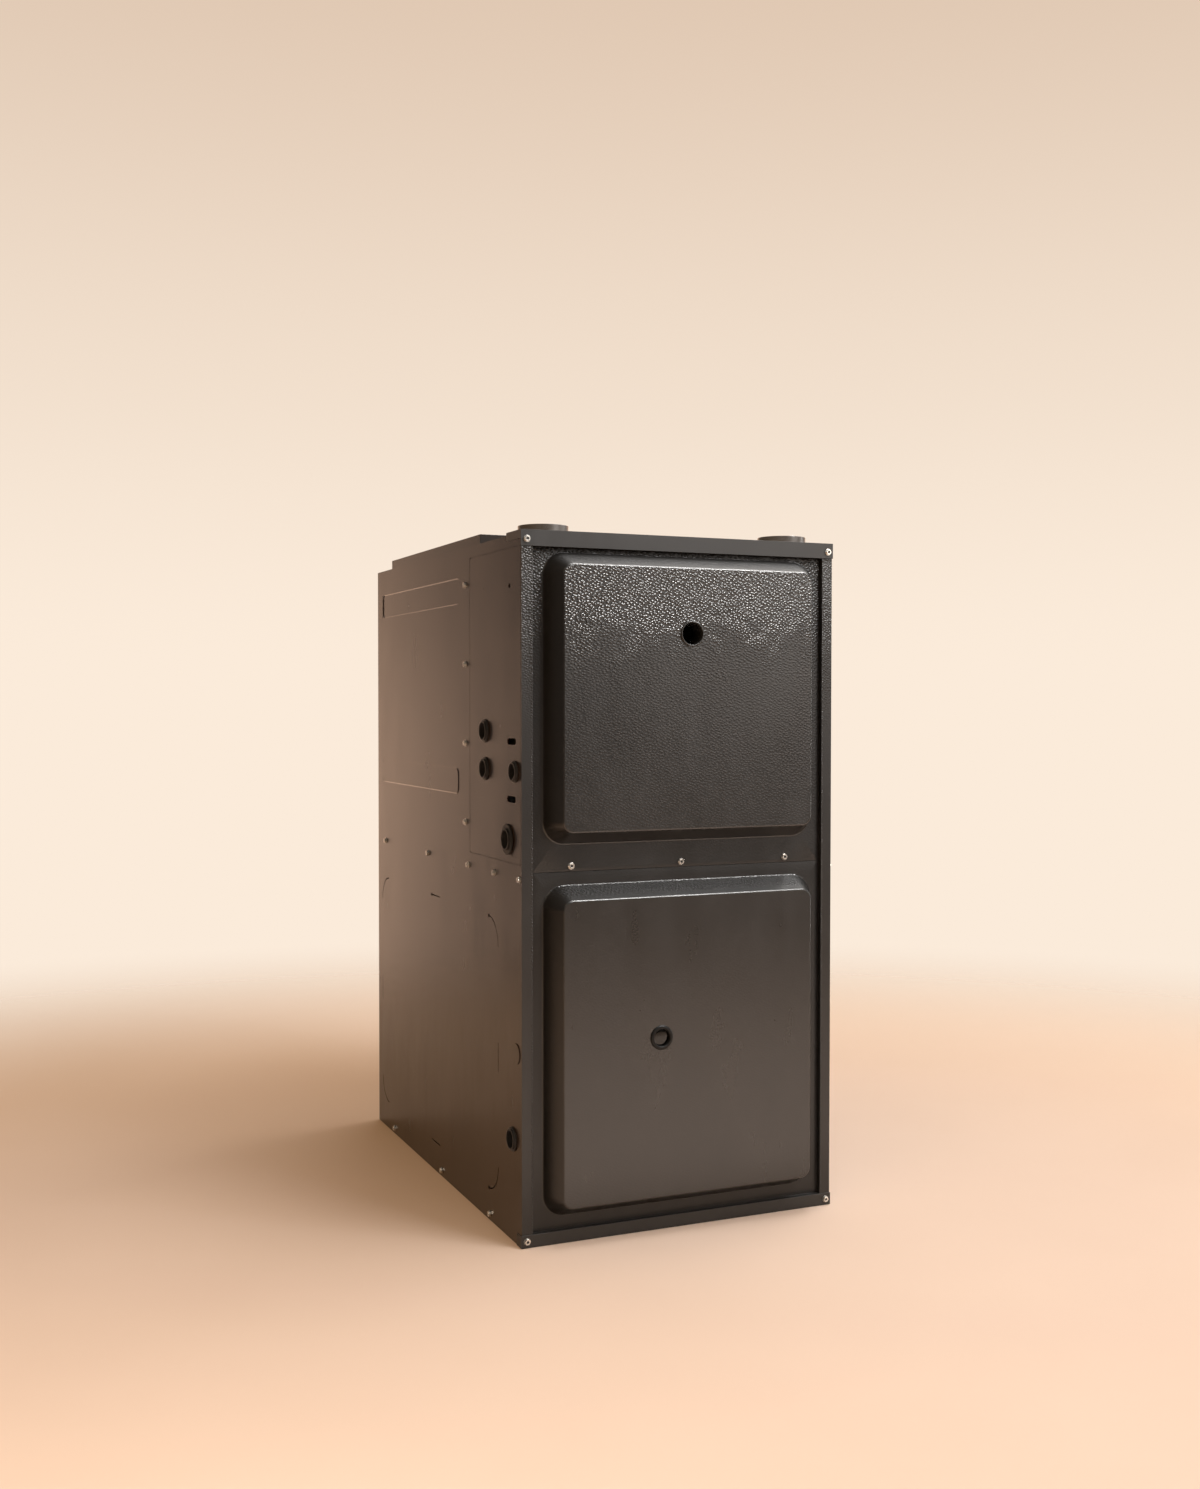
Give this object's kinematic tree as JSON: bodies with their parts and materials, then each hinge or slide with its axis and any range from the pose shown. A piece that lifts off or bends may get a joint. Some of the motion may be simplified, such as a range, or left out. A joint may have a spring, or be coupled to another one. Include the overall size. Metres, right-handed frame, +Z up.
{
  "type": "forced air gas furnace",
  "caption": "Upright condensing gas furnace cabinet with two lift-off doors, blower, burners, heat exchangers, inducer and pipe collars.",
  "frame": {"origin": "middle of the base, on the floor", "axes": "+Z up, the doors face -Y, +X to the right seen from the front"},
  "size_m": [0.4514, 0.687, 0.904],
  "materials": {
    "cabinet_paint": "satin taupe baked enamel",
    "rail_paint": "satin charcoal baked enamel",
    "door_paint": "satin charcoal enamel on pebble-grained steel",
    "galvanised_steel": "spangled galvanised sheet",
    "insulation": "foil-faced glass wool",
    "zinc_screws": "bright zinc plating",
    "black_plastic": "moulded, fine texture",
    "black_rubber": "matt",
    "sight_glass": "clear",
    "black_iron": "black iron pipe",
    "cast_aluminium": "as cast",
    "red_plastic": "moulded",
    "white_plastic": "moulded",
    "brass": "turned",
    "ceramic": "unglazed ceramic",
    "tube_steel": "aluminised steel",
    "motor_paint": "satin black",
    "white_pvc": "smooth",
    "circuit_board": "solder mask",
    "transformer_iron": "varnished laminations",
    "aluminium_fins": "thin rolled fins, slightly dull"
  },
  "bodies": {
    "cabinet": {"left_side_panel": "cabinet_paint", "right_side_panel": "cabinet_paint", "left_service_plate": "cabinet_paint", "right_service_plate": "cabinet_paint", "back_panel": "cabinet_paint", "top_panel": "cabinet_paint", "supply_flange": "cabinet_paint", "header_rail": "rail_paint", "bottom_rail": "rail_paint", "base_pan": "galvanised_steel", "blower_deck": "galvanised_steel", "vestibule_panel": "galvanised_steel", "vent_collar": "black_plastic", "intake_collar": "black_plastic", "collar_screws": "zinc_screws", "corner_screws": "zinc_screws", "side_screws": "zinc_screws", "wire_bushings": "black_plastic", "gas_bushings": "black_rubber", "drain_bushings": "black_plastic", "knockout_plugs": "cabinet_paint", "gas_pipe": "black_iron", "gas_valve": "cast_aluminium", "gas_manifold": "black_iron", "gas_orifices": "brass", "burners": "galvanised_steel", "burner_box": "galvanised_steel", "igniter": "ceramic", "flame_sensor": "ceramic", "rollout_switches": "black_plastic", "heat_exchanger_tubes": "tube_steel", "secondary_exchanger": "aluminium_fins", "collector_box": "black_plastic", "inducer_housing": "black_plastic", "inducer_motor": "motor_paint", "vent_pipe": "white_pvc", "pressure_switch": "black_plastic", "condensate_trap": "white_pvc", "blower_housing": "galvanised_steel", "blower_motor": "motor_paint", "motor_bracket": "galvanised_steel", "control_tray": "galvanised_steel", "control_board": "circuit_board", "transformer": "transformer_iron", "door_switch": "black_plastic"},
    "upper_door_body": {"upper_door": "door_paint", "upper_door_insulation": "insulation", "door_screws": "zinc_screws"},
    "lower_door_body": {"lower_door": "door_paint", "lower_door_insulation": "insulation", "sight_bezel": "black_plastic", "sight_lens": "sight_glass"},
    "blower_rotor": {"blower_wheel": "galvanised_steel", "blower_shaft": "tube_steel"},
    "inducer_rotor": {"inducer_wheel": "cast_aluminium", "inducer_fan": "black_plastic"},
    "gas_knob": {"gas_valve_knob": "red_plastic"},
    "left_reset": {"left_reset_button": "red_plastic"},
    "right_reset": {"right_reset_button": "red_plastic"},
    "switch_plunger": {"door_switch_plunger": "white_plastic"}
  },
  "joints": [
    {"name": "upper_door_slide", "type": "slide", "parent": "cabinet", "child": "upper_door_body", "axis": [0, -1, 0], "range_m": [0, 0.12]},
    {"name": "lower_door_slide", "type": "slide", "parent": "cabinet", "child": "lower_door_body", "axis": [0, -1, 0], "range_m": [0, 0.12]},
    {"name": "blower_spin", "type": "hinge", "parent": "cabinet", "child": "blower_rotor", "pos_m": [0, 0.07505, 0.235], "axis": [1, 0, 0], "continuous": true},
    {"name": "inducer_spin", "type": "hinge", "parent": "cabinet", "child": "inducer_rotor", "pos_m": [0.01, -0.18695, 0.598], "axis": [0, 1, 0], "continuous": true},
    {"name": "gas_valve_knob_turn", "type": "hinge", "parent": "cabinet", "child": "gas_knob", "pos_m": [0.15, -0.29695, 0.6748], "axis": [0, -1, 0], "range_deg": [0, 90]},
    {"name": "left_reset_press", "type": "slide", "parent": "cabinet", "child": "left_reset", "axis": [0, 0, -1], "range_m": [0, 0.0015], "stiffness_N_per_m": 600},
    {"name": "right_reset_press", "type": "slide", "parent": "cabinet", "child": "right_reset", "axis": [0, 0, -1], "range_m": [0, 0.0015], "stiffness_N_per_m": 600},
    {"name": "door_switch_travel", "type": "slide", "parent": "cabinet", "child": "switch_plunger", "axis": [0, -1, 0], "range_m": [0, 0.005]}
  ],
  "couplings": [
    {"joint": "door_switch_travel", "follows": "lower_door_slide", "ratio": 0.041667}
  ]
}
